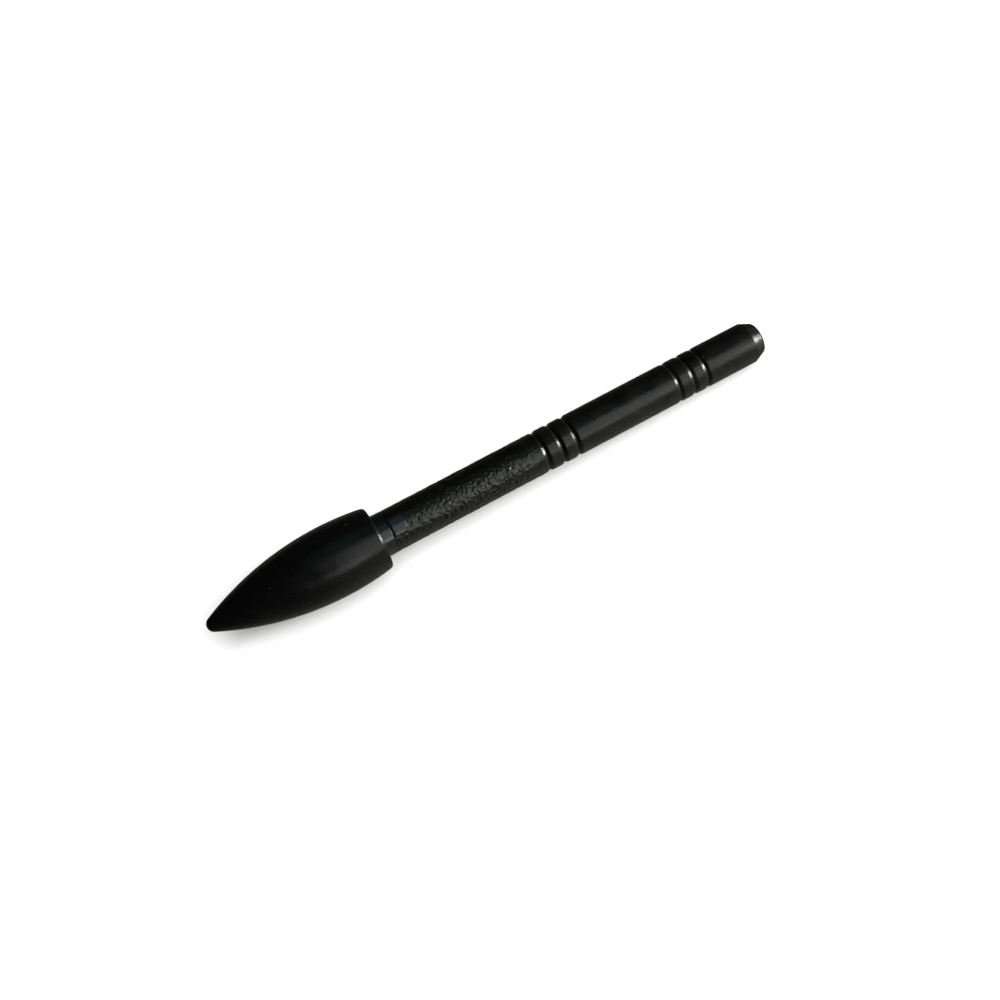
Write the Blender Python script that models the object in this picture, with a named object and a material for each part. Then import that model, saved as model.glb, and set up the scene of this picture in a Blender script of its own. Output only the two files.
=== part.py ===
"""Clay shaper: a slim modelling tool with a firm pointed head on a stacked handle.

The tool lies along X with its tip at -X, its tail at +X and its origin half way along the
axis. A steel rod runs through the handle. The collar, barrels and grip rings are threaded
over it like beads, the tail cap screws on behind them and pulls the stack tight, and the
shaping head screws on in front.

Stations are distances from the tip along the axis. Stations, radii and depths are in
millimetres, and MM turns them into metres when a piece is made.
"""

import math

import bmesh
import bpy
from mathutils import Vector

MM = 0.001
SEGMENTS = 32            # facets round every turned piece
SHARP_EDGE = math.radians(20.0)
MERGE = 1e-7             # metres, closes a spun outline

# Overall form
LENGTH = 144.0
HANDLE_RADIUS = 5.0
SEAM = 0.1               # gap between neighbours in the stack
SEAM_EDGE = (0.1, 0.1)   # length and depth of the bevel beside a plain seam

# Shaping head
HEAD_CREST = 31.0        # station of the widest section
HEAD_RIM = 42.2          # station of the flat back of the head
HEAD_RADIUS = 8.37
HEAD_FORE_ARC = 70.0     # radius of the side from nose to crest
HEAD_REAR_ARC = 67.0     # radius of the side from crest to rim
HEAD_RIM_BEVEL = (0.55, 0.35)  # length and depth
HEAD_MOUTH = 35.3        # station of the floor of the mouth
HEAD_SOCKET = 27.2       # station of the floor of the insert's socket

# Handle stack
COLLAR_FRONT = 37.0
COLLAR_SEAM = 45.0
FRONT_GROOVES = (84.4, 88.35, 92.2)
REAR_GROOVES = (119.85, 123.75, 127.45)
FRONT_GROOVE_DEPTH = 0.42
REAR_GROOVE_DEPTH = 0.31
GROOVE_HALF_WIDTH = 0.75

# Smooth raised pad at the front of the front barrel
PAD_LENGTH = 3.9
PAD_HEIGHT = 0.12
PAD_FACETS = (-1, 4)     # facets from the top of the barrel, counted towards -Y

# Tail
TAIL_BEVEL = (3.0, 1.3)
TAIL_CORNER = 0.9        # radius between the bevel and the flat end
CAP_RECESS_DEPTH = 1.25
CAP_SOCKET = 136.3       # station of the floor of the insert's socket

# Rod, inserts and small parts
ROD_FRONT = 28.6
ROD_REAR = 134.8
ROD_RADIUS = 2.5         # M5 thread, drawn at its full diameter
ROD_UNDERCUT = 2.1
ROD_UNDERCUT_LENGTH = 1.0
ROD_REAR_THREAD = 127.0
FLANGE_FRONT = 35.9
FLANGE_LENGTH = 0.9
FLANGE_RADIUS = 3.9
INSERT_LENGTH = 7.0
INSERT_RADIUS = 3.5
INSERT_WAIST = 3.2
CLEARANCE = 0.08         # radial gap of every running or sliding fit
O_RING_STATION = 40.9
O_RING_SECTION = 1.0     # diameter of the rubber
O_RING_SIDES = 8
O_RING_FIT = 0.06        # radial gap between the ring and the collar it wipes
O_RING_GROOVE_FIT = 0.1
WASHER_LENGTH = 0.9
WASHER_RADIUS = 3.8
SMALL_BEVEL = 0.3

BORE_RADIUS = ROD_RADIUS + CLEARANCE
SOCKET_RADIUS = INSERT_RADIUS + CLEARANCE
MOUTH_RADIUS = HANDLE_RADIUS + CLEARANCE


def clear_scene():
    """Remove whatever the scene starts with."""
    for old in list(bpy.data.objects):
        bpy.data.objects.remove(old, do_unlink=True)


def make_material(name, colour, roughness, metallic=0.0):
    """Return a Principled material of one colour."""
    material = bpy.data.materials.new(name)
    material.use_nodes = True
    shader = material.node_tree.nodes["Principled BSDF"]
    shader.inputs["Base Color"].default_value = (*colour, 1.0)
    shader.inputs["Roughness"].default_value = roughness
    shader.inputs["Metallic"].default_value = metallic
    return material


def make_pivot(name, station):
    """Return an empty on the tool's axis, where a moving group of pieces is carried."""
    pivot = bpy.data.objects.new(name, None)
    pivot.empty_display_size = 2.0 * HANDLE_RADIUS * MM
    pivot.location.x = (station - LENGTH / 2) * MM
    bpy.context.collection.objects.link(pivot)
    return pivot


def arc(centre, radius, start, end, steps):
    """Return points on a circular arc from angle start to angle end, ends included."""
    points = []
    for step in range(steps + 1):
        angle = start + (end - start) * step / steps
        points.append((centre[0] + radius * math.cos(angle), centre[1] + radius * math.sin(angle)))
    return points


def spin_outline(outline, origin, closed):
    """Spin (station, radius) points about X into a closed mesh, in metres from origin.

    A closed outline makes a ring or tube. An open one starts and ends on the axis.
    """
    shape = bmesh.new()
    verts = [shape.verts.new(((station - origin) * MM, 0.0, radius * MM)) for station, radius in outline]
    pairs = list(zip(verts, verts[1:]))
    if closed:
        pairs.append((verts[-1], verts[0]))
    edges = [shape.edges.new(pair) for pair in pairs]
    bmesh.ops.spin(
        shape, geom=verts + edges, cent=(0, 0, 0), axis=(1, 0, 0),
        angle=2 * math.pi, steps=SEGMENTS, use_merge=True,
    )
    bmesh.ops.remove_doubles(shape, verts=shape.verts, dist=MERGE)
    bmesh.ops.recalc_face_normals(shape, faces=shape.faces)
    return shape


def place(name, shape, origin, material, pivot=None):
    """Turn a mesh in progress into a shaded object with its own origin on the axis."""
    mesh = bpy.data.meshes.new(name)
    shape.to_mesh(mesh)
    shape.free()
    mesh.shade_smooth()
    mesh.set_sharp_from_angle(angle=SHARP_EDGE)
    mesh.materials.append(material)
    piece = bpy.data.objects.new(name, mesh)
    bpy.context.collection.objects.link(piece)
    piece.location.x = (origin - LENGTH / 2) * MM
    if pivot:
        piece.location.x -= pivot.location.x
        piece.parent = pivot
    return piece


def tube_outline(front, rear, outer, bore, front_bevel, rear_bevel):
    """Return the section of a tube whose outer edges are bevelled by (length, depth)."""
    return [
        (front, bore),
        (front, outer - front_bevel[1]),
        (front + front_bevel[0], outer),
        (rear - rear_bevel[0], outer),
        (rear, outer - rear_bevel[1]),
        (rear, bore),
    ]


def make_sleeve(name, front, rear, front_bevel, rear_bevel, material):
    """Make one piece of the handle stack, bored to slide over the rod."""
    outline = tube_outline(front, rear, HANDLE_RADIUS, BORE_RADIUS, front_bevel, rear_bevel)
    return place(name, spin_outline(outline, front, closed=True), front, material)


def make_core_rod(material):
    """Make the rod: a thread at each end, an undercut behind each, and a front flange."""
    tip_bevel = ROD_RADIUS - ROD_UNDERCUT
    flange_rear = FLANGE_FRONT + FLANGE_LENGTH
    outline = [
        (ROD_FRONT, 0.0),
        (ROD_FRONT, ROD_UNDERCUT),
        (ROD_FRONT + tip_bevel, ROD_RADIUS),
        (FLANGE_FRONT - ROD_UNDERCUT_LENGTH, ROD_RADIUS),
        (FLANGE_FRONT - ROD_UNDERCUT_LENGTH, ROD_UNDERCUT),
        (FLANGE_FRONT, ROD_UNDERCUT),
        (FLANGE_FRONT, FLANGE_RADIUS),
        (flange_rear, FLANGE_RADIUS),
        (flange_rear, ROD_RADIUS),
        (ROD_REAR_THREAD - ROD_UNDERCUT_LENGTH, ROD_RADIUS),
        (ROD_REAR_THREAD - ROD_UNDERCUT_LENGTH, ROD_UNDERCUT),
        (ROD_REAR_THREAD, ROD_UNDERCUT),
        (ROD_REAR_THREAD, ROD_RADIUS),
        (ROD_REAR - tip_bevel, ROD_RADIUS),
        (ROD_REAR, ROD_UNDERCUT),
        (ROD_REAR, 0.0),
    ]
    return place("core_rod", spin_outline(outline, ROD_FRONT, closed=False), ROD_FRONT, material)


def head_side():
    """Return the head's outside from tip to back: nose, fore arc, rear arc, bevelled rim."""
    fore_centre = Vector((HEAD_CREST, HEAD_RADIUS - HEAD_FORE_ARC))
    nose_radius = (HEAD_FORE_ARC**2 - fore_centre.length_squared) / (2 * (HEAD_FORE_ARC - HEAD_CREST))
    nose_centre = Vector((nose_radius, 0.0))
    join = nose_centre - fore_centre
    join_angle = math.atan2(join.y, join.x)
    points = arc(nose_centre, nose_radius, math.pi, join_angle, 5)
    points += arc(fore_centre, HEAD_FORE_ARC, join_angle, math.pi / 2, 9)[1:]
    rear_centre = Vector((HEAD_CREST, HEAD_RADIUS - HEAD_REAR_ARC))
    rim_angle = math.acos((HEAD_RIM - HEAD_RIM_BEVEL[0] - HEAD_CREST) / HEAD_REAR_ARC)
    points += arc(rear_centre, HEAD_REAR_ARC, math.pi / 2, rim_angle, 4)[1:]
    points.append((HEAD_RIM, points[-1][1] - HEAD_RIM_BEVEL[1]))
    return points


def make_shaping_head(material, pivot):
    """Make the pointed head with its mouth, the seal's groove and the insert's socket."""
    groove_radius = HANDLE_RADIUS + O_RING_FIT + O_RING_SECTION + CLEARANCE
    half_groove = O_RING_SECTION / 2 + O_RING_GROOVE_FIT
    outline = head_side() + [
        (HEAD_RIM, MOUTH_RADIUS + SMALL_BEVEL),
        (HEAD_RIM - SMALL_BEVEL, MOUTH_RADIUS),
        (O_RING_STATION + half_groove, MOUTH_RADIUS),
        (O_RING_STATION + half_groove, groove_radius),
        (O_RING_STATION - half_groove, groove_radius),
        (O_RING_STATION - half_groove, MOUTH_RADIUS),
        (HEAD_MOUTH, MOUTH_RADIUS),
        (HEAD_MOUTH, SOCKET_RADIUS),
        (HEAD_SOCKET, SOCKET_RADIUS),
        (HEAD_SOCKET, 0.0),
    ]
    shape = spin_outline(outline, HEAD_RIM, closed=False)
    return place("shaping_head", shape, HEAD_RIM, material, pivot)


def make_insert(name, front, material, pivot):
    """Make a threaded insert: a bored brass slug with a waist that keys it in place."""
    rear = front + INSERT_LENGTH
    third = INSERT_LENGTH / 3
    outline = [
        (front, BORE_RADIUS),
        (front, INSERT_RADIUS - SMALL_BEVEL),
        (front + SMALL_BEVEL, INSERT_RADIUS),
        (front + third, INSERT_RADIUS),
        (front + third, INSERT_WAIST),
        (rear - third, INSERT_WAIST),
        (rear - third, INSERT_RADIUS),
        (rear - SMALL_BEVEL, INSERT_RADIUS),
        (rear, INSERT_RADIUS - SMALL_BEVEL),
        (rear, BORE_RADIUS),
    ]
    return place(name, spin_outline(outline, front, closed=True), front, material, pivot)


def make_head_o_ring(material, pivot):
    """Make the rubber ring that sits in the head's mouth and wipes the collar."""
    radius = O_RING_SECTION / 2
    centre = (O_RING_STATION, HANDLE_RADIUS + O_RING_FIT + radius)
    outline = arc(centre, radius, math.pi / 2, 5 * math.pi / 2, O_RING_SIDES)[:-1]
    shape = spin_outline(outline, O_RING_STATION, closed=True)
    return place("head_o_ring", shape, O_RING_STATION, material, pivot)


def add_pad(barrel, front, rear):
    """Raise the smooth pad at the front of the barrel, flush with its front bevel."""
    shape = bmesh.new()
    shape.from_mesh(barrel.data)
    facet = 2 * math.pi / SEGMENTS
    low_angle = PAD_FACETS[0] * facet
    high_angle = PAD_FACETS[1] * facet
    pad_faces = []
    for face in shape.faces:
        middle = face.calc_center_median()
        station = middle.x / MM + front
        angle = math.atan2(-middle.y, middle.z)
        outside = math.hypot(middle.y, middle.z) > (HANDLE_RADIUS + BORE_RADIUS) / 2 * MM
        if outside and front + SEAM_EDGE[0] < station < rear and low_angle < angle < high_angle:
            pad_faces.append(face)
    raised = bmesh.ops.extrude_face_region(shape, geom=pad_faces)
    scale = (HANDLE_RADIUS + PAD_HEIGHT) / HANDLE_RADIUS
    for element in raised["geom"]:
        if isinstance(element, bmesh.types.BMVert):
            element.co.y *= scale
            element.co.z *= scale
    bmesh.ops.delete(shape, geom=[f for f in pad_faces if f.is_valid], context="FACES")
    bmesh.ops.recalc_face_normals(shape, faces=shape.faces)
    shape.to_mesh(barrel.data)
    shape.free()
    barrel.data.shade_smooth()
    barrel.data.set_sharp_from_angle(angle=SHARP_EDGE)


def make_front_barrel(front, rear, material):
    """Make the front barrel: a sleeve with a ring of points where its pad ends."""
    outline = tube_outline(
        front, rear, HANDLE_RADIUS, BORE_RADIUS,
        SEAM_EDGE, (GROOVE_HALF_WIDTH, FRONT_GROOVE_DEPTH),
    )
    pad_rear = front + SEAM_EDGE[0] + PAD_LENGTH
    outline.insert(3, (pad_rear, HANDLE_RADIUS))
    barrel = place("front_barrel", spin_outline(outline, front, closed=True), front, material)
    add_pad(barrel, front, pad_rear)
    return barrel


def tail_corner():
    """Return the rounded corner between the flat end and the tail's bevel."""
    slope = math.atan2(TAIL_BEVEL[0], TAIL_BEVEL[1])
    flat_radius = HANDLE_RADIUS - TAIL_BEVEL[1] - TAIL_CORNER * math.tan(slope / 2)
    return arc((LENGTH - TAIL_CORNER, flat_radius), TAIL_CORNER, 0.0, slope, 3)


def make_tail_cap(front, material, pivot):
    """Make the tail cap: bevelled end, washer recess and socket for its insert."""
    recess_radius = WASHER_RADIUS + CLEARANCE
    outline = [
        (LENGTH, 0.0),
        *tail_corner(),
        (LENGTH - TAIL_BEVEL[0], HANDLE_RADIUS),
        (front + GROOVE_HALF_WIDTH, HANDLE_RADIUS),
        (front, HANDLE_RADIUS - REAR_GROOVE_DEPTH),
        (front, recess_radius),
        (front + CAP_RECESS_DEPTH, recess_radius),
        (front + CAP_RECESS_DEPTH, SOCKET_RADIUS),
        (CAP_SOCKET, SOCKET_RADIUS),
        (CAP_SOCKET, 0.0),
    ]
    return place("tail_cap", spin_outline(outline, front, closed=False), front, material, pivot)


def make_cap_washer(cap_front, material, pivot):
    """Make the washer that lies in the cap's recess and bears on the last grip ring."""
    edge = (SMALL_BEVEL / 2, SMALL_BEVEL / 2)
    outline = tube_outline(cap_front, cap_front + WASHER_LENGTH, WASHER_RADIUS, BORE_RADIUS, edge, edge)
    shape = spin_outline(outline, cap_front, closed=True)
    return place("cap_washer", shape, cap_front, material, pivot)


def make_handle(plastic):
    """Make the stack on the rod. Each groove is the bevelled seam of two neighbours."""
    half_seam = SEAM / 2
    front_groove = (GROOVE_HALF_WIDTH, FRONT_GROOVE_DEPTH)
    rear_groove = (GROOVE_HALF_WIDTH, REAR_GROOVE_DEPTH)
    collar_bevel = (SMALL_BEVEL, SMALL_BEVEL)
    make_sleeve("neck_collar", COLLAR_FRONT, COLLAR_SEAM - half_seam, collar_bevel, SEAM_EDGE, plastic)
    make_front_barrel(COLLAR_SEAM + half_seam, FRONT_GROOVES[0] - half_seam, plastic)
    make_sleeve(
        "rear_barrel", FRONT_GROOVES[-1] + half_seam, REAR_GROOVES[0] - half_seam,
        front_groove, rear_groove, plastic,
    )
    number = 1
    for grooves, bevel in ((FRONT_GROOVES, front_groove), (REAR_GROOVES, rear_groove)):
        for before, after in zip(grooves, grooves[1:]):
            make_sleeve(
                f"grip_ring_{number}", before + half_seam, after - half_seam, bevel, bevel, plastic,
            )
            number += 1


def make_head_group(rubber, seal_rubber, brass):
    """Make the shaping head, its insert and its seal round a pivot at the head's back."""
    head_pivot = make_pivot("head_pivot", HEAD_RIM)
    make_shaping_head(rubber, head_pivot)
    make_insert("head_insert", HEAD_SOCKET + 2 * CLEARANCE, brass, head_pivot)
    seal_pivot = make_pivot("seal_pivot", O_RING_STATION)
    make_head_o_ring(seal_rubber, seal_pivot)


def make_tail_group(plastic, nylon, brass):
    """Make the tail cap, its insert and its washer round a pivot at the cap's front."""
    cap_front = REAR_GROOVES[-1] + SEAM / 2
    cap_pivot = make_pivot("cap_pivot", cap_front)
    make_tail_cap(cap_front, plastic, cap_pivot)
    make_insert("tail_insert", cap_front + CAP_RECESS_DEPTH + 2 * CLEARANCE, brass, cap_pivot)
    washer_pivot = make_pivot("washer_pivot", cap_front)
    make_cap_washer(cap_front, nylon, washer_pivot)


def main():
    """Build the whole tool."""
    clear_scene()
    plastic = make_material("black_plastic", (0.012, 0.012, 0.012), 0.35)
    rubber = make_material("black_silicone", (0.010, 0.010, 0.011), 0.38)
    seal_rubber = make_material("seal_rubber", (0.020, 0.020, 0.020), 0.60)
    nylon = make_material("washer_nylon", (0.70, 0.68, 0.62), 0.45)
    brass = make_material("insert_brass", (0.72, 0.52, 0.24), 0.30, 1.0)
    steel = make_material("rod_steel", (0.56, 0.57, 0.58), 0.28, 1.0)
    make_core_rod(steel)
    make_handle(plastic)
    make_head_group(rubber, seal_rubber, brass)
    make_tail_group(plastic, nylon, brass)


main()
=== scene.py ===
"""Looks of the clay shaper: fine turned surfaces, grained plastic, floor, light and camera."""

import math

import bpy
from mathutils import Matrix, Vector, noise


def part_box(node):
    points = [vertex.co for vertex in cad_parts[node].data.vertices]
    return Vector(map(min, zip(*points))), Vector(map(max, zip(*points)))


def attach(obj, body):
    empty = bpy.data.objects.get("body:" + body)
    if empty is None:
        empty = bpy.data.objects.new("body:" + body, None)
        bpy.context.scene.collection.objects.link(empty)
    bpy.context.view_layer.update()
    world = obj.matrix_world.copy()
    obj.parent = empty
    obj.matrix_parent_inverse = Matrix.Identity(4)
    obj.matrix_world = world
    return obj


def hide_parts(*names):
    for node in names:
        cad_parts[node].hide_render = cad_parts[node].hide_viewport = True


MM = 0.001

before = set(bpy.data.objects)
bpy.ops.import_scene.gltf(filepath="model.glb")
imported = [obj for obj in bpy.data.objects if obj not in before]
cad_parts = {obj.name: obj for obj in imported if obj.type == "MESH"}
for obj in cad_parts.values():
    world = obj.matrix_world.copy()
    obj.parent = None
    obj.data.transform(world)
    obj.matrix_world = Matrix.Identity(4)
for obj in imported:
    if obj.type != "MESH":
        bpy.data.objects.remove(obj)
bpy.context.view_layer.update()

# Camera: the photo's angle and distance, in degrees and mm
CAMERA_AZIMUTH = -29.89              # 0 looks along +Y
CAMERA_ELEVATION = 67.73
CAMERA_DISTANCE = 314.5
CAMERA_AIM = (-1.61, -5.76, 0.0)
CAMERA_LENS = 50.05
CAMERA_SENSOR = 36.0
CAMERA_NEAR = 0.01                   # m

# Fineness of the turned surfaces
ROUND_STEPS = 160                    # facets round the big pieces
SMALL_STEPS = 96                     # facets round the small pieces
ARC_STEP = math.radians(9.0)
SHARP_EDGE = math.radians(35.0)      # a steeper fold stays a sharp edge
ON_AXIS = 1e-6                       # mm, a smaller radius is a point on the axis
SAME_RADIUS = 0.01                   # mm, slack when two radii are compared
ROUND_REACH = 0.48                   # share of a side that the round of its corner may take

# Shaping head, in mm
NOSE_TO_CREST = 31.0
FORE_ARC = 70.0
FORE_STEPS = 40
REAR_ARC = 67.0
REAR_STEPS = 14
RIM_CHAMFER = (0.55, 0.35)           # length and depth
RIM_ROUND = 0.18
MOUTH_ROUND = 0.3
SEAL_GROOVE_ROUND = 0.15
STEP_ROUND = 0.2                     # of the steps inside the head and the cap
FIT = 0.08                           # gap left round a part in its socket

# Handle, in mm
SEAM_BEVEL = (0.06, 0.06)            # each bevel is its length and its depth
SEAM_ROUND = 0.08
NECK_BEVEL = (0.3, 0.3)
NECK_ROUND = 0.2
BORE_ROUND = 0.05
GROOVE_HALF_WIDTH = 0.75
FRONT_GROOVE = (GROOVE_HALF_WIDTH, 0.42)
REAR_GROOVE = (GROOVE_HALF_WIDTH, 0.31)
SHOULDER_ROUND = 0.22
GROOVE_FLOOR_ROUND = 0.06
TAIL_BEVEL = (3.0, 1.3)
TAIL_CORNER_ROUND = 0.9
TAIL_BEVEL_ROUND = 0.5
WASHER_BEVEL = (0.12, 0.12)
SMALL_ROUND = 0.1                    # of the rod, the washer and the sockets

# Smooth pad at the front of the grained barrel, in mm
PAD_LENGTH = 4.0
PAD_SKEW = 0.9                       # how much further the pad reaches on its upper side
PAD_HEIGHT = 0.08
PAD_CENTRE = math.radians(13.5)      # from the top of the barrel towards -Y
PAD_HALF_SPAN = math.radians(27.5)
PAD_CORNER = 1.1
PAD_FRONT_WALL = 0.5
PAD_REAR_WALL = (-0.6, 0.1)          # where the pad starts and stops to fall, from its edge
PAD_SIDE_WALL = (-0.12, 0.1)

# Moulded grain of the front barrel, in mm
GRAIN_STEP = 0.13                    # between rows of the grained surface
PLAIN_STEP = 5.0                     # between rows of its ends and its bore
GRAIN_STEPS = 240                    # facets round it
GRAIN_SIZE = 0.68                    # of the largest lumps
GRAIN_ALONG = 0.85                   # below 1, the lumps are longer than they are wide
GRAIN_LAYERS = (                     # share, fineness and offset of each size of lump
    (1.0, 1.0, (0.0, 0.0, 0.0)),
    (0.55, 1.9, (7.1, 3.3, 5.9)),
    (0.32, 3.7, (2.7, 8.3, 1.9)),
)
GRAIN_HEIGHT = 0.12
GRAIN_SINK = 0.35                    # how far the grain is sunk, as a share of its height
GRAIN_FADE = (0.0, 0.7)              # behind the front edge
GRAIN_END = (0.2, 1.2)               # before the first groove
GRAIN_FAINT = 0.55                   # share of its full height just behind the pad
GRAIN_RISE = (8.0, 15.0)             # where it grows from faint to full, behind the seam
GRAIN_FALL = (29.0, 36.0)            # where it eases off again
GRAIN_LATE = 0.65                    # share of its full height after that
GRAIN_SKIN = 0.05                    # the relief starts this far under the surface
PAD_SKIN = 0.2                       # and the pad's finish this far under it

# Rod, inserts and threads, in mm
ROD_RADIUS = 2.5                     # of the thread: the rod's box gives its flange
BORE = ROD_RADIUS + FIT
ROD_UNDERCUT = 2.1                   # radius
ROD_END_BEVEL = 0.4
UNDERCUT_BEVEL = 0.1
UNDERCUT_LENGTH = 1.0
FLANGE_PLACE = 7.3                   # behind the rod's front end
FLANGE_LENGTH = 0.9
REAR_THREAD = 7.8                    # length
INSERT_BEVEL = 0.3
BAND_BEVEL = 0.1
BAND_ROUND = 0.08
INSERT_STEPS = 168
KNURLS = 28
KNURL_LEAD = 1.1                     # length in which a cut moves on by one knurl
KNURL_DEPTH = 0.16
KNURL_WIDTH = 2.2                    # the higher, the narrower the cuts
PITCH = 0.8
THREAD_DEPTH = 0.42
THREAD_STEP = 0.1                    # between rows of a threaded surface
LONG_STEP = 10.0                     # between rows of a plain one
THREAD_ROOT = 0.12                   # share of the pitch that is flat root
THREAD_FLANK = 0.76                  # share that is flank
RUN_OUT = 0.6 * PITCH
END_RUN_OUT = 0.3                    # how far outside the rod's ends the run-out starts
SEAL_STEPS = 24                      # round the ring's section

# Materials: scales are per metre, bumps in m
DUST_COLOUR = (0.32, 0.32, 0.30)
DUST_RADIUS = 0.00013
DUST_SOFT = 0.6                      # share of a speck's radius that is fully pale
PLAIN_RAMP = (0.3, 0.7)              # stretch of a noise that its colours are spread over
BLACK_RAMP = (0.3, 0.75)
RUB_RAMP = (0.32, 0.7)
BLACK_BROAD = (230.0, 5.0)           # scale and detail of each noise
BLACK_RUB = (420.0, 6.0, 0.62, (0.45, 1.0, 1.0))
FINE_DETAIL = 3.0
SLOW_DETAIL = 2.0
METAL_BROAD = (260.0, 5.0)
METAL_MARKS = (900.0, 4.0, 0.6, (3.0, 0.4, 0.4))
METAL_BUMP = (0.000012, 0.6)         # depth and strength
NYLON_BROAD = (300.0, 4.0)
NYLON_COLOURS = ((0.60, 0.57, 0.50), (0.72, 0.70, 0.64))
NYLON_FINE = (1200.0, 3.0)
NYLON_ROUGHNESS = (0.35, 0.5)
NYLON_BUMP = (0.00001, 0.5)
NYLON_SUBSURFACE = (0.1, 0.0005)     # weight and scale

# Studio
FLOOR_HALF = 3.0                     # m
FLOOR_NOISE = (6.0, 4.0)
FLOOR_COLOURS = ((0.86, 0.86, 0.855), (0.89, 0.89, 0.885))
FLOOR_ROUGHNESS = 0.7
PANEL_DISTANCE = 0.6                 # m from the tool's axis to the light panels
LAMP_DISTANCE = 0.8                  # m from the middle of the tool to the lamps
WINDOW_COLOUR = (0.96, 1.0, 0.985)
SKY_COLOUR = (0.66, 0.94, 1.0)
ROOM_COLOUR = (0.99, 1.0, 0.88)
BACKGROUND = 0.93                    # what the camera sees beyond the floor
ROOM_DARK = 0.022
TABLE_PALE = 0.32
FAR_TABLE = 0.16
BACK_WALL = (0.22, 0.8)              # behind the tail, far side and camera's side
NEAR_RANGE = (-0.15, -1.0)           # along Y, where the table grows pale
TAILWARD_RANGE = (-0.10, 0.24)       # along X, the same
BELOW_RANGE = (-0.1, -1.0)           # along Z, where the far table starts
BEHIND_RANGE = (0.78, 0.90)          # along X, where the back wall starts
WALL_RANGE = (0.3, -0.35)            # along Y, across the back wall


def in_mm(node):
    """Return a CAD node's front x, rear x and outer radius in mm."""
    low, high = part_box(node)
    return low.x / MM, high.x / MM, high.y / MM


# ---------------------------------------------------------------- outlines

def arc_steps(turn):
    """Return how many steps a small arc of this turn needs."""
    return max(2, math.ceil(abs(turn) / ARC_STEP))


def arc(centre, radius, start, end, steps):
    """Return points along an arc in the (x, radius) plane, ends included."""
    points = []
    for step in range(steps + 1):
        angle = start + (end - start) * step / steps
        points.append((centre[0] + radius * math.cos(angle), centre[1] + radius * math.sin(angle)))
    return points


def rounded(corners, closed):
    """Return an outline through (x, radius, round) corners, with each corner rounded off."""
    points = []
    count = len(corners)
    for index, (x, radius, fillet) in enumerate(corners):
        here = Vector((x, radius))
        inner = closed or 0 < index < count - 1
        if not inner or fillet <= 0:
            points.append((x, radius))
            continue
        before = Vector(corners[index - 1][:2]) - here
        after = Vector(corners[(index + 1) % count][:2]) - here
        half = before.angle(after) / 2
        shorter = min(before.length, after.length)
        reach = min(fillet / math.tan(half), ROUND_REACH * shorter)
        fillet = reach * math.tan(half)
        middle = (before.normalized() + after.normalized()).normalized()
        centre = here + middle * (fillet / math.sin(half))
        first = here + before.normalized() * reach - centre
        last = here + after.normalized() * reach - centre
        turn = first.angle(last)
        side = 1.0 if first.x * last.y - first.y * last.x > 0 else -1.0
        start = math.atan2(first.y, first.x)
        points += arc(centre, fillet, start, start + side * turn, arc_steps(turn))
    return points


def split_long(points, step, closed=False):
    """Return the outline with points added so that no stretch is longer than step."""
    ends = points[1:] + points[:1] if closed else points[1:]
    result = []
    for here, there in zip(points, ends):
        length = math.dist(here, there)
        pieces = max(1, math.ceil(length / step))
        for part in range(pieces):
            share = part / pieces
            result.append((
                here[0] + (there[0] - here[0]) * share,
                here[1] + (there[1] - here[1]) * share,
            ))
    if not closed:
        result.append(points[-1])
    return result


# ---------------------------------------------------------------- meshes

def turn_mesh(name, outline, steps, closed, relief=None):
    """Turn an outline of (x, radius) in mm about X, and return it as an object in metres.

    An open outline starts and ends on the axis. relief(x, radius, angle) gives the radius
    to use instead; angle is measured from the top towards -Y.
    """
    verts = []
    rings = []
    for x, radius in outline:
        if radius < ON_AXIS:
            rings.append([len(verts)])
            verts.append((x * MM, 0.0, 0.0))
            continue
        ring = []
        for step in range(steps):
            angle = 2 * math.pi * step / steps
            shaped = relief(x, radius, angle) if relief else radius
            ring.append(len(verts))
            verts.append((x * MM, -shaped * math.sin(angle) * MM, shaped * math.cos(angle) * MM))
        rings.append(ring)
    faces = []
    pairs = list(zip(rings, rings[1:]))
    if closed:
        pairs.append((rings[-1], rings[0]))
    for near, far in pairs:
        for step in range(steps):
            after = (step + 1) % steps
            if len(near) == 1:
                faces.append((near[0], far[step], far[after]))
            elif len(far) == 1:
                faces.append((near[step], far[0], near[after]))
            else:
                faces.append((near[step], far[step], far[after], near[after]))
    mesh = bpy.data.meshes.new(name)
    mesh.from_pydata(verts, [], faces)
    mesh.validate()
    face_out(mesh)
    mesh.shade_smooth()
    mesh.set_sharp_from_angle(angle=SHARP_EDGE)
    piece = bpy.data.objects.new(name, mesh)
    bpy.context.collection.objects.link(piece)
    return piece


def face_out(mesh):
    """Make the mesh's faces point outwards, judged by the sign of its volume."""
    volume = 0.0
    mesh.calc_loop_triangles()
    for triangle in mesh.loop_triangles:
        a, b, c = (mesh.vertices[index].co for index in triangle.vertices)
        volume += a.dot(b.cross(c))
    if volume < 0:
        mesh.flip_normals()


def dress(piece, node, body, material):
    """Hand a finished piece over: its body, its CAD node and its material."""
    piece.data.materials.append(material)
    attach(piece, body)
    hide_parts(node)


def sleeve_corners(front, rear, outer, front_bevel, rear_bevel, shoulders):
    """Return the corners of a sleeve on the rod: (x, radius, round) for each."""
    return [
        (front, BORE, BORE_ROUND),
        (front, outer - front_bevel[1], GROOVE_FLOOR_ROUND),
        (front + front_bevel[0], outer, shoulders[0]),
        (rear - rear_bevel[0], outer, shoulders[1]),
        (rear, outer - rear_bevel[1], GROOVE_FLOOR_ROUND),
        (rear, BORE, BORE_ROUND),
    ]


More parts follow.
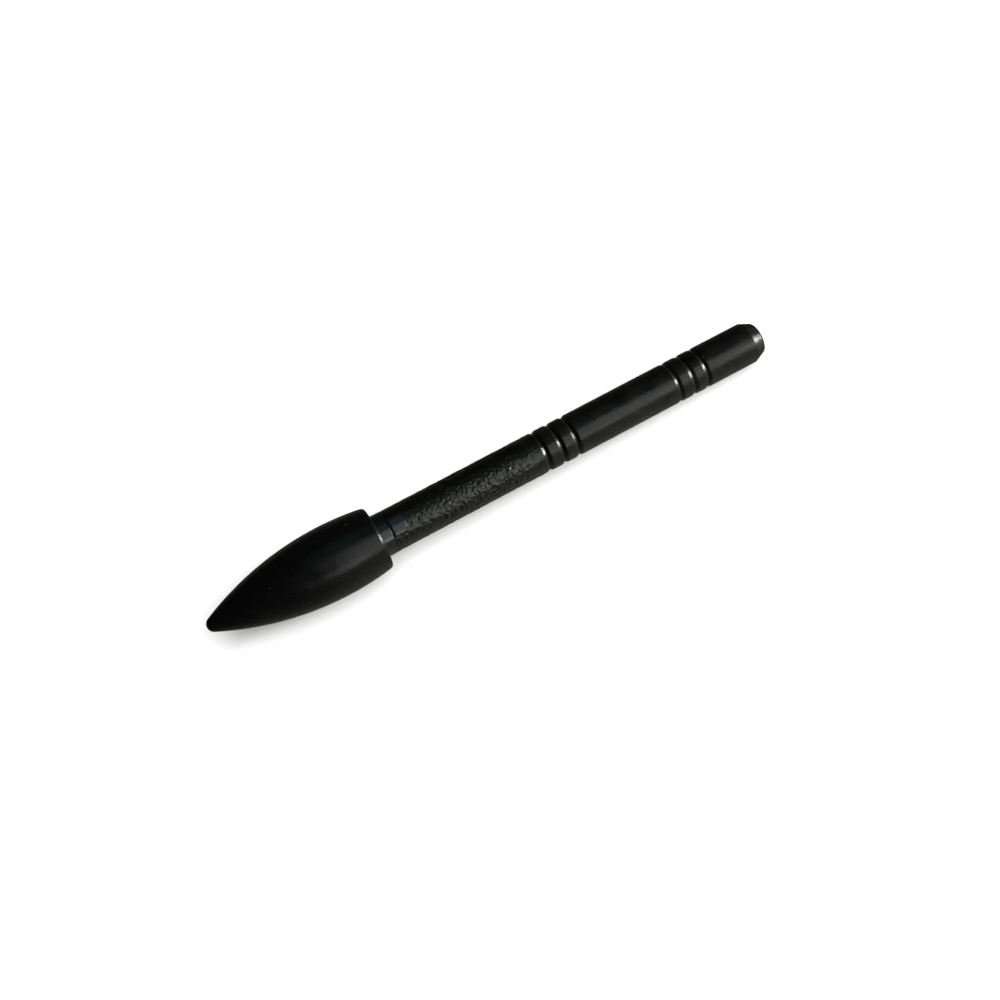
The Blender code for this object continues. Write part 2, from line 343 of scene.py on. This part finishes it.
def thread_wave(x, angle):
    """Return 0 at a thread's root and 1 at its crest, along a right-hand helix about X."""
    phase = (x / PITCH - angle / (2 * math.pi)) % 1.0
    slope = 2.0 * abs(phase - 0.5)
    return min(1.0, max(0.0, (slope - THREAD_ROOT) / THREAD_FLANK))


# ---------------------------------------------------------------- the head

def make_head(material):
    """The pointed head: nose, two long arcs, bevelled rim, flat back and stepped mouth."""
    front, rear, _ = in_mm("shaping_head")
    crest_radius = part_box("shaping_head")[1].z / MM
    crest = front + NOSE_TO_CREST
    collar_radius = in_mm("neck_collar")[2]
    insert_front, insert_rear, insert_radius = in_mm("head_insert")
    ring_front, ring_rear, ring_radius = in_mm("head_o_ring")
    fore_centre = Vector((crest, crest_radius - FORE_ARC))
    from_tip = Vector((NOSE_TO_CREST, crest_radius - FORE_ARC))
    nose_radius = (FORE_ARC**2 - from_tip.length_squared) / (2 * (FORE_ARC - NOSE_TO_CREST))
    nose_centre = Vector((front + nose_radius, 0.0))
    join = nose_centre - fore_centre
    join_angle = math.atan2(join.y, join.x)
    points = arc(nose_centre, nose_radius, math.pi, join_angle, arc_steps(join_angle - math.pi))
    points += arc(fore_centre, FORE_ARC, join_angle, math.pi / 2, FORE_STEPS)[1:]
    rear_centre = Vector((crest, crest_radius - REAR_ARC))
    chamfer_front = rear - RIM_CHAMFER[0]
    rim_angle = math.acos((chamfer_front - crest) / REAR_ARC)
    points += arc(rear_centre, REAR_ARC, math.pi / 2, rim_angle, REAR_STEPS)[1:]
    chamfer_top = points[-1][1]
    chamfer_low = chamfer_top - RIM_CHAMFER[1]
    mouth = collar_radius + FIT
    back = [
        (*points[-2], 0.0),
        (chamfer_front, chamfer_top, 2 * RIM_ROUND),
        (rear, chamfer_low, RIM_ROUND),
        (rear, mouth, MOUTH_ROUND),
        (ring_rear + FIT, mouth, 0.0),
        (ring_rear + FIT, ring_radius + FIT, SEAL_GROOVE_ROUND),
        (ring_front - FIT, ring_radius + FIT, SEAL_GROOVE_ROUND),
        (ring_front - FIT, mouth, 0.0),
        (insert_rear + 2 * FIT, mouth, STEP_ROUND),
        (insert_rear + 2 * FIT, insert_radius + FIT, STEP_ROUND),
        (insert_front - 2 * FIT, insert_radius + FIT, MOUTH_ROUND),
        (insert_front - 2 * FIT, 0.0, 0.0),
    ]
    points = points[:-1] + rounded(back, closed=False)[1:]
    piece = turn_mesh("head_skin", points, ROUND_STEPS, closed=False)
    dress(piece, "shaping_head", "head", material)


def make_insert(node, body, material):
    """A threaded brass insert with a diamond knurl on its two bands."""
    front, rear, outer = in_mm(node)
    waist = outer - INSERT_BEVEL
    third = (rear - front) / 3
    corners = [
        (front, BORE, 0.0),
        (front, waist, SMALL_ROUND),
        (front + INSERT_BEVEL, outer, SMALL_ROUND),
        (front + third, outer, BAND_ROUND),
        (front + third + BAND_BEVEL, waist, BAND_ROUND),
        (rear - third - BAND_BEVEL, waist, BAND_ROUND),
        (rear - third, outer, BAND_ROUND),
        (rear - INSERT_BEVEL, outer, SMALL_ROUND),
        (rear, waist, SMALL_ROUND),
        (rear, BORE, 0.0),
    ]
    points = split_long(rounded(corners, closed=True), THREAD_STEP, closed=True)

    def relief(x, radius, angle):
        if radius < BORE + SAME_RADIUS:
            crest = thread_wave(x, angle + math.pi) * inside(x, front, rear)
            return radius - THREAD_DEPTH * crest
        if radius < outer - 2 * SAME_RADIUS:
            return radius
        lead = (x - front) / KNURL_LEAD
        around = angle * KNURLS / (2 * math.pi)
        right = abs((around + lead) % 1.0 - 0.5)
        left = abs((around - lead) % 1.0 - 0.5)
        return radius - KNURL_DEPTH * max(0.0, 0.5 - KNURL_WIDTH * min(right, left))

    piece = turn_mesh(node + "_knurled", points, INSERT_STEPS, closed=True, relief=relief)
    dress(piece, node, body, material)


def inside(x, front, rear):
    """Return 1 well inside a stretch and 0 at its ends, for a thread's run-out."""
    return min(1.0, max(0.0, min(x - front, rear - x) / RUN_OUT))


def make_o_ring(material):
    """The rubber ring in the head's mouth."""
    front, rear, outer = in_mm("head_o_ring")
    radius = (rear - front) / 2
    centre = ((front + rear) / 2, outer - radius)
    points = arc(centre, radius, math.pi / 2, 5 * math.pi / 2, SEAL_STEPS)[:-1]
    piece = turn_mesh("seal_ring", points, SMALL_STEPS, closed=True)
    dress(piece, "head_o_ring", "head_seal", material)


# ---------------------------------------------------------------- the handle

def make_sleeve(node, front_bevel, rear_bevel, shoulders, material):
    """One smooth piece of the handle stack."""
    front, rear, outer = in_mm(node)
    corners = sleeve_corners(front, rear, outer, front_bevel, rear_bevel, shoulders)
    points = rounded(corners, closed=True)
    piece = turn_mesh(node + "_turned", points, ROUND_STEPS, closed=True)
    dress(piece, node, "handle", material)


def smooth_step(low, high, value):
    """Return 0 below low, 1 above high and a smooth ramp between."""
    share = min(1.0, max(0.0, (value - low) / (high - low)))
    return share * share * (3 - 2 * share)


def pad_share(x, angle, front, outer):
    """Return 1 on the smooth pad and 0 off it: straight edge in front, round corners behind."""
    turn = (angle - PAD_CENTRE + math.pi) % (2 * math.pi) - math.pi
    across = turn * outer
    half = PAD_HALF_SPAN * outer
    into_corner = min(PAD_CORNER, max(0.0, abs(across) - half + PAD_CORNER))
    cut_back = PAD_CORNER - math.sqrt(PAD_CORNER**2 - into_corner**2)
    length = PAD_LENGTH - PAD_SKEW * across / (2 * half) - cut_back
    along = x - front
    end = 1.0 - smooth_step(*PAD_REAR_WALL, along - length)
    side = 1.0 - smooth_step(*PAD_SIDE_WALL, abs(across) - half)
    return end * side


def grain(x, radius, angle):
    """Return the moulded grain at a point of the barrel, about -1 to 1."""
    place = Vector((GRAIN_ALONG * x, -radius * math.sin(angle), radius * math.cos(angle)))
    return sum(
        share * noise.noise(fineness * place / GRAIN_SIZE + Vector(offset))
        for share, fineness, offset in GRAIN_LAYERS
    )


def grain_share(x, front, rear):
    """Return how much of its full height the grain has at a place along the barrel."""
    share = GRAIN_FAINT + (1.0 - GRAIN_FAINT) * smooth_step(*GRAIN_RISE, x - front)
    share -= (1.0 - GRAIN_LATE) * smooth_step(*GRAIN_FALL, x - front)
    return share * smooth_step(*GRAIN_FADE, x - front) * smooth_step(*GRAIN_END, rear - x)


def make_front_barrel(grained, polished):
    """The grained sleeve with its smooth pad raised at the front."""
    node = "front_barrel"
    front, rear, _ = in_mm(node)
    outer = in_mm("rear_barrel")[2]
    shoulders = (SEAM_ROUND, SHOULDER_ROUND)
    corners = sleeve_corners(front, rear, outer, SEAM_BEVEL, FRONT_GROOVE, shoulders)
    skin = split_skin(rounded(corners, closed=True), outer)

    def relief(x, radius, angle):
        if radius < outer - GRAIN_SKIN:
            return radius
        pad = pad_share(x, angle, front, outer)
        height = GRAIN_HEIGHT * grain_share(x, front, rear) * (1.0 - pad)
        level = height * (grain(x, radius, angle) - GRAIN_SINK)
        wall = smooth_step(0.0, PAD_FRONT_WALL, x - front)
        return radius + level + PAD_HEIGHT * (pad * wall - 0.5)

    piece = turn_mesh(node + "_grained", skin, GRAIN_STEPS, closed=True, relief=relief)
    dress(piece, node, "handle", grained)
    piece.data.materials.append(polished)
    for face in piece.data.polygons:
        x, y, z = face.center / MM
        on_pad = pad_share(x, math.atan2(-y, z), front, outer) > 0.5
        if on_pad and math.hypot(y, z) > outer - PAD_SKIN:
            face.material_index = 1


def split_skin(points, outer):
    """Split only the outside of a closed outline finely."""
    result = []
    for here, there in zip(points, points[1:] + points[:1]):
        fine = min(here[1], there[1]) > outer - SAME_RADIUS
        result += split_long([here, there], GRAIN_STEP if fine else PLAIN_STEP)[:-1]
    return result


def make_tail_cap(material):
    """The tail cap: bevelled end, washer recess and the insert's socket."""
    front, rear, outer = in_mm("tail_cap")
    _, washer_rear, washer_radius = in_mm("cap_washer")
    _, insert_rear, insert_radius = in_mm("tail_insert")
    corners = [
        (rear, 0.0, 0.0),
        (rear, outer - TAIL_BEVEL[1], TAIL_CORNER_ROUND),
        (rear - TAIL_BEVEL[0], outer, TAIL_BEVEL_ROUND),
        (front + REAR_GROOVE[0], outer, SHOULDER_ROUND),
        (front, outer - REAR_GROOVE[1], GROOVE_FLOOR_ROUND),
        (front, washer_radius + FIT, SMALL_ROUND),
        (washer_rear + 2 * FIT, washer_radius + FIT, SMALL_ROUND),
        (washer_rear + 2 * FIT, insert_radius + FIT, SMALL_ROUND),
        (insert_rear + 2 * FIT, insert_radius + FIT, STEP_ROUND),
        (insert_rear + 2 * FIT, 0.0, 0.0),
    ]
    points = rounded(corners, closed=False)
    piece = turn_mesh("tail_cap_turned", points, ROUND_STEPS, closed=False)
    dress(piece, "tail_cap", "tail_cap", material)


def make_washer(material):
    """The nylon washer under the tail cap."""
    front, rear, outer = in_mm("cap_washer")
    shoulders = (SMALL_ROUND, SMALL_ROUND)
    corners = sleeve_corners(front, rear, outer, WASHER_BEVEL, WASHER_BEVEL, shoulders)
    points = rounded(corners, closed=True)
    piece = turn_mesh("cap_washer_turned", points, SMALL_STEPS, closed=True)
    dress(piece, "cap_washer", "cap_washer", material)


def make_rod(material):
    """The steel rod with its two rolled threads, undercuts and flange."""
    front, rear, flange_radius = in_mm("core_rod")
    flange_front = front + FLANGE_PLACE
    flange_rear = flange_front + FLANGE_LENGTH
    thread_rear = rear - REAR_THREAD
    front_undercut = flange_front - UNDERCUT_LENGTH
    rear_undercut = thread_rear - UNDERCUT_LENGTH
    corners = [
        (front, 0.0, 0.0),
        (front, ROD_UNDERCUT, SMALL_ROUND),
        (front + ROD_END_BEVEL, ROD_RADIUS, 0.0),
        (front_undercut, ROD_RADIUS, 0.0),
        (front_undercut + UNDERCUT_BEVEL, ROD_UNDERCUT, SMALL_ROUND),
        (flange_front, ROD_UNDERCUT, SMALL_ROUND),
        (flange_front, flange_radius, SMALL_ROUND),
        (flange_rear, flange_radius, SMALL_ROUND),
        (flange_rear, ROD_RADIUS, SMALL_ROUND),
        (rear_undercut, ROD_RADIUS, SMALL_ROUND),
        (rear_undercut + UNDERCUT_BEVEL, ROD_UNDERCUT, SMALL_ROUND),
        (thread_rear - UNDERCUT_BEVEL, ROD_UNDERCUT, SMALL_ROUND),
        (thread_rear, ROD_RADIUS, 0.0),
        (rear - ROD_END_BEVEL, ROD_RADIUS, 0.0),
        (rear, ROD_UNDERCUT, SMALL_ROUND),
        (rear, 0.0, 0.0),
    ]
    outline = []
    rough = rounded(corners, closed=False)
    for here, there in zip(rough, rough[1:]):
        threaded = there[0] < flange_front or here[0] > rear_undercut - UNDERCUT_LENGTH / 2
        outline += split_long([here, there], THREAD_STEP if threaded else LONG_STEP)[:-1]
    outline.append(rough[-1])

    def relief(x, radius, angle):
        if radius < ROD_RADIUS - 2 * SAME_RADIUS:
            return radius
        if front < x < flange_front - UNDERCUT_LENGTH / 2:
            share = inside(x, front - END_RUN_OUT, front_undercut)
        elif thread_rear < x < rear:
            share = inside(x, thread_rear - UNDERCUT_BEVEL, rear + END_RUN_OUT)
        else:
            return radius
        return radius - THREAD_DEPTH * share * (1.0 - thread_wave(x, angle))

    piece = turn_mesh("tie_rod", outline, SMALL_STEPS, closed=False, relief=relief)
    dress(piece, "core_rod", "handle", material)


# ---------------------------------------------------------------- materials

def new_material(name):
    """Return a material with an empty Principled surface, its nodes, links and shader."""
    material = bpy.data.materials.new(name)
    material.use_nodes = True
    nodes = material.node_tree.nodes
    links = material.node_tree.links
    return material, nodes, links, nodes["Principled BSDF"]


def add_noise(nodes, links, scale, detail, roughness=0.5, stretch=(1.0, 1.0, 1.0)):
    """Add a noise texture in the tool's own space and return its factor."""
    place = nodes.new("ShaderNodeTexCoord")
    mapping = nodes.new("ShaderNodeMapping")
    mapping.inputs["Scale"].default_value = stretch
    texture = nodes.new("ShaderNodeTexNoise")
    texture.inputs["Scale"].default_value = scale
    texture.inputs["Detail"].default_value = detail
    texture.inputs["Roughness"].default_value = roughness
    links.new(place.outputs["Object"], mapping.inputs["Vector"])
    links.new(mapping.outputs["Vector"], texture.inputs["Vector"])
    return texture.outputs["Fac"]


def add_ramp(nodes, links, source, low, high, first, second):
    """Map a factor between two positions to two colours (or greys) and return the colour."""
    ramp = nodes.new("ShaderNodeValToRGB")
    ramp.color_ramp.elements[0].position = low
    ramp.color_ramp.elements[1].position = high
    ramp.color_ramp.elements[0].color = (*first, 1.0)
    ramp.color_ramp.elements[1].color = (*second, 1.0)
    links.new(source, ramp.inputs["Fac"])
    return ramp.outputs["Color"]


def add_range(nodes, links, source, low, high, bottom, top):
    """Map a factor from low..high to bottom..top and return the value."""
    node = nodes.new("ShaderNodeMapRange")
    node.inputs["From Min"].default_value = low
    node.inputs["From Max"].default_value = high
    node.inputs["To Min"].default_value = bottom
    node.inputs["To Max"].default_value = top
    links.new(source, node.inputs["Value"])
    return node.outputs["Result"]


def add_bump(nodes, links, source, distance, strength, before=None):
    """Add a bump from a height and return its normal, on top of an earlier normal if given."""
    bump = nodes.new("ShaderNodeBump")
    bump.inputs["Distance"].default_value = distance
    bump.inputs["Strength"].default_value = strength
    links.new(source, bump.inputs["Height"])
    if before:
        links.new(before, bump.inputs["Normal"])
    return bump.outputs["Normal"]


def black_surface(name, colours, roughness, ior, tint, fine, slow, dust_cell):
    """A near-black moulded surface: uneven sheen, fine grain, slow unevenness and a little dust.

    colours and roughness are (least, most); fine and slow are (scale per m, bump depth in m);
    dust_cell is the spacing of the specks of dust in m.
    """
    material, nodes, links, shader = new_material(name)
    broad = add_noise(nodes, links, *BLACK_BROAD)
    colour = add_ramp(nodes, links, broad, *BLACK_RAMP, *colours)
    rub = add_noise(nodes, links, *BLACK_RUB)
    rough = add_range(nodes, links, rub, *RUB_RAMP, *roughness)
    speck = add_dust(nodes, links, dust_cell)
    links.new(add_mix(nodes, links, speck, colour, DUST_COLOUR), shader.inputs["Base Color"])
    links.new(rough, shader.inputs["Roughness"])
    grit = add_noise(nodes, links, fine[0], FINE_DETAIL)
    waves = add_noise(nodes, links, slow[0], SLOW_DETAIL)
    normal = add_bump(nodes, links, grit, fine[1], 1.0)
    normal = add_bump(nodes, links, waves, slow[1], 1.0, normal)
    links.new(normal, shader.inputs["Normal"])
    shader.inputs["IOR"].default_value = ior
    shader.inputs["Specular Tint"].default_value = (*tint, 1.0)
    return material


def add_dust(nodes, links, cell):
    """Add sparse round specks, about one cell apart, and return 1 on a speck."""
    place = nodes.new("ShaderNodeTexCoord")
    points = nodes.new("ShaderNodeTexVoronoi")
    points.inputs["Scale"].default_value = 1.0 / cell
    links.new(place.outputs["Object"], points.inputs["Vector"])
    edge = DUST_RADIUS / cell
    return add_range(nodes, links, points.outputs["Distance"], edge, DUST_SOFT * edge, 0.0, 1.0)


def add_mix(nodes, links, factor, first, second):
    """Mix a colour socket with a fixed colour and return the result."""
    mix = nodes.new("ShaderNodeMix")
    mix.data_type = "RGBA"
    links.new(factor, mix.inputs["Factor"])
    links.new(first, mix.inputs["A"])
    mix.inputs["B"].default_value = (*second, 1.0)
    return mix.outputs["Result"]


def metal_surface(name, colours, roughness):
    """A turned metal surface with fine marks round it; both ranges are (least, most)."""
    material, nodes, links, shader = new_material(name)
    broad = add_noise(nodes, links, *METAL_BROAD)
    colour = add_ramp(nodes, links, broad, *PLAIN_RAMP, *colours)
    links.new(colour, shader.inputs["Base Color"])
    marks = add_noise(nodes, links, *METAL_MARKS)
    rough = add_range(nodes, links, marks, *PLAIN_RAMP, *roughness)
    links.new(rough, shader.inputs["Roughness"])
    links.new(add_bump(nodes, links, marks, *METAL_BUMP), shader.inputs["Normal"])
    shader.inputs["Metallic"].default_value = 1.0
    return material


def nylon_surface():
    """Off-white nylon, slightly waxy."""
    material, nodes, links, shader = new_material("washer_nylon_look")
    broad = add_noise(nodes, links, *NYLON_BROAD)
    colour = add_ramp(nodes, links, broad, *PLAIN_RAMP, *NYLON_COLOURS)
    links.new(colour, shader.inputs["Base Color"])
    marks = add_noise(nodes, links, *NYLON_FINE)
    rough = add_range(nodes, links, marks, *PLAIN_RAMP, *NYLON_ROUGHNESS)
    links.new(rough, shader.inputs["Roughness"])
    links.new(add_bump(nodes, links, marks, *NYLON_BUMP), shader.inputs["Normal"])
    shader.inputs["Subsurface Weight"].default_value = NYLON_SUBSURFACE[0]
    shader.inputs["Subsurface Scale"].default_value = NYLON_SUBSURFACE[1]
    return material


# ---------------------------------------------------------------- stage

def direction(along, across):
    """Return a unit vector: along is the angle towards the tail, across the angle from +Z to -Y."""
    along = math.radians(along)
    across = math.radians(across)
    return Vector((
        math.sin(along),
        -math.cos(along) * math.sin(across),
        math.cos(along) * math.cos(across),
    ))


def place_light(data, outward, location):
    """Put a light in the scene, shining against outward and unseen by the camera."""
    light = bpy.data.objects.new(data.name, data)
    bpy.context.collection.objects.link(light)
    light.location = location
    light.rotation_euler = facing(outward).to_euler()
    light.visible_camera = False
    return light


def add_panel(name, across, spread, front, rear, radiance, colour=(1.0, 1.0, 1.0)):
    """Add a flat light beside the tool: across and spread in degrees, front and rear in m."""
    width = 2 * PANEL_DISTANCE * math.tan(math.radians(spread))
    data = bpy.data.lights.new(name, "AREA")
    data.shape = "RECTANGLE"
    data.size = rear - front
    data.size_y = width
    data.energy = math.pi * (rear - front) * width * radiance
    data.color = colour
    outward = direction(0.0, across)
    middle = Vector(((front + rear) / 2, 0.0, 0.0))
    place_light(data, outward, outward * PANEL_DISTANCE + middle)


def add_lamp(name, along, across, side, power):
    """Add a small square light that faces the middle of the tool."""
    data = bpy.data.lights.new(name, "AREA")
    data.shape = "SQUARE"
    data.size = side
    data.energy = power
    outward = direction(along, across)
    place_light(data, outward, outward * LAMP_DISTANCE)


def add_floor_light(floor, along, across, spread, irradiance):
    """Add a wide, even light from above that falls on the floor alone."""
    data = bpy.data.lights.new("overhead", "SUN")
    data.angle = math.radians(spread)
    data.energy = irradiance
    light = place_light(data, direction(along, across), Vector())
    receivers = bpy.data.collections.new("floor_only")
    receivers.objects.link(floor)
    light.light_linking.receiver_collection = receivers


def facing(outward):
    """Return the turn that makes a light shine against outward with its first side along X."""
    axis_x = Vector((1, 0, 0)) - outward * outward.x
    axis_x.normalize()
    axis_y = outward.cross(axis_x)
    return Matrix((axis_x, axis_y, outward)).transposed()


def make_floor():
    """A plain pale floor that the head's belly and the tail's underside both touch."""
    head_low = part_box("shaping_head")[0].z
    tail_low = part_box("tail_cap")[0].z
    head_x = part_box("shaping_head")[0].x + NOSE_TO_CREST * MM
    tail_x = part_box("tail_cap")[1].x - TAIL_BEVEL[0] * MM
    slope = math.atan2(tail_low - head_low, tail_x - head_x)
    sides = ((-1, -1), (1, -1), (1, 1), (-1, 1))
    verts = [(FLOOR_HALF * x, FLOOR_HALF * y, 0.0) for x, y in sides]
    mesh = bpy.data.meshes.new("floor")
    mesh.from_pydata(verts, [], [(0, 1, 2, 3)])
    floor = bpy.data.objects.new("floor", mesh)
    bpy.context.collection.objects.link(floor)
    floor.rotation_euler.y = -slope
    floor.location = (head_x, 0.0, head_low)
    material, nodes, links, shader = new_material("floor_paint")
    broad = add_noise(nodes, links, *FLOOR_NOISE)
    colour = add_ramp(nodes, links, broad, *PLAIN_RAMP, *FLOOR_COLOURS)
    links.new(colour, shader.inputs["Base Color"])
    shader.inputs["Roughness"].default_value = FLOOR_ROUGHNESS
    floor.data.materials.append(material)
    floor.visible_glossy = False
    return floor


def add_maths(nodes, links, operation, first, second):
    """Combine two values and return the result's socket."""
    node = nodes.new("ShaderNodeMath")
    node.operation = operation
    links.new(first, node.inputs[0])
    links.new(second, node.inputs[1])
    return node.outputs["Value"]


def make_world():
    """Pale to the camera; to everything else a dim room.

    The room is paler low down on the near side, like a table, and behind the tail, like a wall.
    """
    world = bpy.data.worlds.new("studio")
    bpy.context.scene.world = world
    world.use_nodes = True
    nodes = world.node_tree.nodes
    links = world.node_tree.links
    nodes.clear()
    output = nodes.new("ShaderNodeOutputWorld")
    mix = nodes.new("ShaderNodeMixShader")
    path = nodes.new("ShaderNodeLightPath")
    seen = nodes.new("ShaderNodeBackground")
    seen.inputs["Color"].default_value = (BACKGROUND, BACKGROUND, BACKGROUND, 1.0)
    room = nodes.new("ShaderNodeBackground")
    room.inputs["Color"].default_value = (*ROOM_COLOUR, 1.0)
    place = nodes.new("ShaderNodeTexCoord")
    split = nodes.new("ShaderNodeSeparateXYZ")
    links.new(place.outputs["Generated"], split.inputs["Vector"])
    near = add_range(nodes, links, split.outputs["Y"], *NEAR_RANGE, 0.0, 1.0)
    tailward = add_range(nodes, links, split.outputs["X"], *TAILWARD_RANGE, 0.0, 1.0)
    both = add_maths(nodes, links, "MULTIPLY", near, tailward)
    table = add_range(nodes, links, both, 0.0, 1.0, ROOM_DARK, TABLE_PALE)
    below = add_range(nodes, links, split.outputs["Z"], *BELOW_RANGE, 0.0, FAR_TABLE)
    behind = add_range(nodes, links, split.outputs["X"], *BEHIND_RANGE, 0.0, 1.0)
    wall = add_range(nodes, links, split.outputs["Y"], *WALL_RANGE, *BACK_WALL)
    backdrop = add_maths(nodes, links, "MULTIPLY", behind, wall)
    ground = add_maths(nodes, links, "ADD", table, below)
    strength = add_maths(nodes, links, "ADD", ground, backdrop)
    links.new(strength, room.inputs["Strength"])
    links.new(path.outputs["Is Camera Ray"], mix.inputs["Fac"])
    links.new(room.outputs["Background"], mix.inputs[1])
    links.new(seen.outputs["Background"], mix.inputs[2])
    links.new(mix.outputs["Shader"], output.inputs["Surface"])


def make_lights(floor):
    """A window beside the tool, its brighter sill, a dim ceiling, two lamps and the floor's sun."""
    add_panel(
        "window", across=36.5, spread=26.5, front=0.01, rear=1.0, radiance=0.96,
        colour=WINDOW_COLOUR,
    )
    add_panel("sill", across=57.0, spread=7.0, front=-0.054, rear=0.165, radiance=1.1)
    add_panel(
        "ceiling", across=-5.0, spread=24.0, front=-0.03, rear=0.8, radiance=0.065,
        colour=SKY_COLOUR,
    )
    add_panel(
        "skylight", across=-4.0, spread=25.0, front=-0.03, rear=0.075, radiance=0.20,
        colour=SKY_COLOUR,
    )
    add_lamp("lamp", along=66.0, across=33.5, side=0.2, power=3.6)
    add_lamp("second_lamp", along=40.0, across=43.0, side=0.16, power=0.5)
    add_floor_light(floor, along=10.0, across=0.0, spread=80.0, irradiance=3.8)


def make_camera():
    """The camera at the photo's viewing angle."""
    azimuth = math.radians(CAMERA_AZIMUTH)
    elevation = math.radians(CAMERA_ELEVATION)
    back = Vector((
        math.sin(azimuth) * math.cos(elevation),
        -math.cos(azimuth) * math.cos(elevation),
        math.sin(elevation),
    ))
    data = bpy.data.cameras.new("camera")
    data.lens = CAMERA_LENS
    data.sensor_width = CAMERA_SENSOR
    data.clip_start = CAMERA_NEAR
    camera = bpy.data.objects.new("camera", data)
    bpy.context.collection.objects.link(camera)
    camera.location = Vector(CAMERA_AIM) * MM + back * CAMERA_DISTANCE * MM
    camera.rotation_euler = back.to_track_quat("Z", "Y").to_euler()
    bpy.context.scene.camera = camera


# ---------------------------------------------------------------- all of it

def main():
    """Build every piece, the stage, the lights and the camera."""
    plastic = black_surface(
        "handle_plastic_look",
        colours=((0.0025, 0.0025, 0.0025), (0.011, 0.011, 0.010)),
        roughness=(0.18, 0.35),
        ior=1.5,
        tint=(1.0, 1.0, 0.97),
        fine=(2600.0, 0.00003),
        slow=(700.0, 0.00006),
        dust_cell=0.0055,
    )
    polished = black_surface(
        "polished_plastic_look",
        colours=((0.004, 0.0045, 0.005), (0.007, 0.008, 0.009)),
        roughness=(0.18, 0.28),
        ior=1.72,
        tint=(0.95, 0.98, 1.0),
        fine=(3000.0, 0.00001),
        slow=(500.0, 0.00004),
        dust_cell=0.006,
    )
    grained = black_surface(
        "grained_plastic_look",
        colours=((0.002, 0.002, 0.0019), (0.007, 0.007, 0.006)),
        roughness=(0.12, 0.24),
        ior=1.6,
        tint=(0.98, 1.0, 0.88),
        fine=(3600.0, 0.00004),
        slow=(1100.0, 0.00004),
        dust_cell=0.006,
    )
    silicone = black_surface(
        "silicone_look",
        colours=((0.0030, 0.0030, 0.0030), (0.0050, 0.0050, 0.0050)),
        roughness=(0.20, 0.34),
        ior=1.42,
        tint=(1.0, 1.0, 1.0),
        fine=(3200.0, 0.00001),
        slow=(260.0, 0.00008),
        dust_cell=0.0042,
    )
    rubber = black_surface(
        "seal_look",
        colours=((0.010, 0.010, 0.010), (0.020, 0.020, 0.020)),
        roughness=(0.5, 0.7),
        ior=1.45,
        tint=(1.0, 1.0, 1.0),
        fine=(3000.0, 0.00002),
        slow=(700.0, 0.00003),
        dust_cell=0.006,
    )
    brass = metal_surface(
        "insert_brass_look",
        colours=((0.62, 0.43, 0.18), (0.78, 0.58, 0.28)),
        roughness=(0.22, 0.4),
    )
    steel = metal_surface(
        "rod_steel_look",
        colours=((0.46, 0.47, 0.48), (0.62, 0.63, 0.64)),
        roughness=(0.18, 0.34),
    )
    nylon = nylon_surface()

    shoulders = (SHOULDER_ROUND, SHOULDER_ROUND)
    make_rod(steel)
    make_sleeve("neck_collar", NECK_BEVEL, SEAM_BEVEL, (NECK_ROUND, SEAM_ROUND), polished)
    make_front_barrel(grained, polished)
    make_sleeve("grip_ring_1", FRONT_GROOVE, FRONT_GROOVE, shoulders, plastic)
    make_sleeve("grip_ring_2", FRONT_GROOVE, FRONT_GROOVE, shoulders, plastic)
    make_sleeve("rear_barrel", FRONT_GROOVE, REAR_GROOVE, shoulders, plastic)
    make_sleeve("grip_ring_3", REAR_GROOVE, REAR_GROOVE, shoulders, plastic)
    make_sleeve("grip_ring_4", REAR_GROOVE, REAR_GROOVE, shoulders, plastic)
    make_head(silicone)
    make_insert("head_insert", "head", brass)
    make_o_ring(rubber)
    make_tail_cap(plastic)
    make_insert("tail_insert", "tail_cap", brass)
    make_washer(nylon)
    floor = make_floor()
    make_world()
    make_lights(floor)
    make_camera()
    bpy.context.scene.view_settings.view_transform = "Standard"


main()
